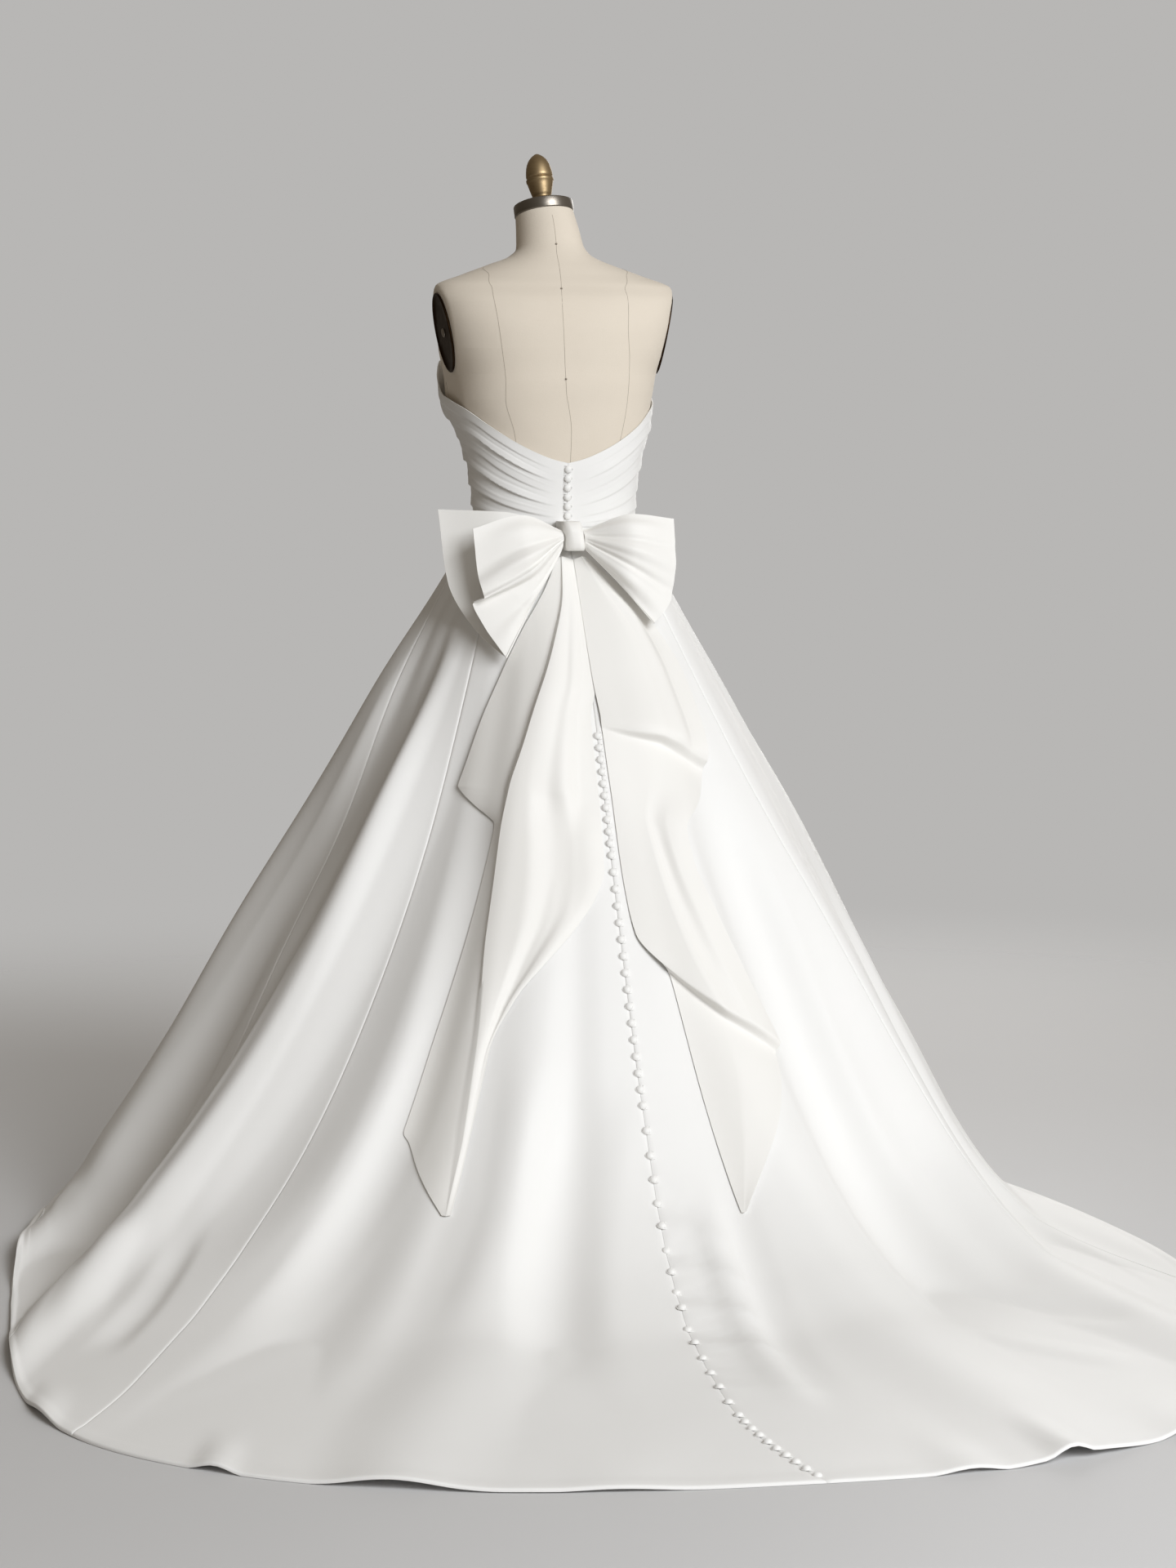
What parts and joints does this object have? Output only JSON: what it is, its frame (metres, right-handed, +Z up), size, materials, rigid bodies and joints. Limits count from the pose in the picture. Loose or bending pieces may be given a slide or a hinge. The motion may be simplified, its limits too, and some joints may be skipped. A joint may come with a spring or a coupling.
{
  "type": "strapless wedding dress with bow and train on a limbless dress form",
  "caption": "Strapless ball gown with pleated bodice, waist bow and long train, standing on its limbless dress form with neck cap and stand.",
  "frame": {"origin": "centre of the stand's foot, on the floor", "axes": "+Z up; the gown's front faces -Y and its train runs to +Y; +X is the wearer's left"},
  "size_m": [1.6873, 2.0267, 1.6617],
  "materials": {
    "ivory_satin": "heavy satin, soft sheen",
    "beige_linen": "plain weave, matt",
    "brushed_steel": "brushed",
    "antique_brass": "aged, dark in its grooves",
    "dark_metal": "dark satin",
    "black_iron": "painted, matt"
  },
  "bodies": {
    "root": {"skirt_front": "ivory_satin", "skirt_side_front_left": "ivory_satin", "skirt_side_back_left": "ivory_satin", "skirt_back_left": "ivory_satin", "skirt_back_right": "ivory_satin", "skirt_side_back_right": "ivory_satin", "skirt_side_front_right": "ivory_satin", "bodice_front": "ivory_satin", "bodice_side_left": "ivory_satin", "bodice_back_left": "ivory_satin", "bodice_back_right": "ivory_satin", "bodice_side_right": "ivory_satin", "bodice_button_1": "ivory_satin", "bodice_button_2": "ivory_satin", "bodice_button_3": "ivory_satin", "bodice_button_4": "ivory_satin", "bodice_button_5": "ivory_satin", "bodice_button_6": "ivory_satin", "bow_knot": "ivory_satin", "bow_loop_left": "ivory_satin", "bow_loop_right": "ivory_satin", "bow_tail_left": "ivory_satin", "bow_tail_right": "ivory_satin", "skirt_button_tape": "ivory_satin", "form_torso": "beige_linen", "form_neck_ring": "brushed_steel", "form_finial": "antique_brass", "form_arm_plate_left": "dark_metal", "form_arm_plate_right": "dark_metal", "stand_pole": "brushed_steel", "stand_base": "black_iron"}
  },
  "joints": []
}
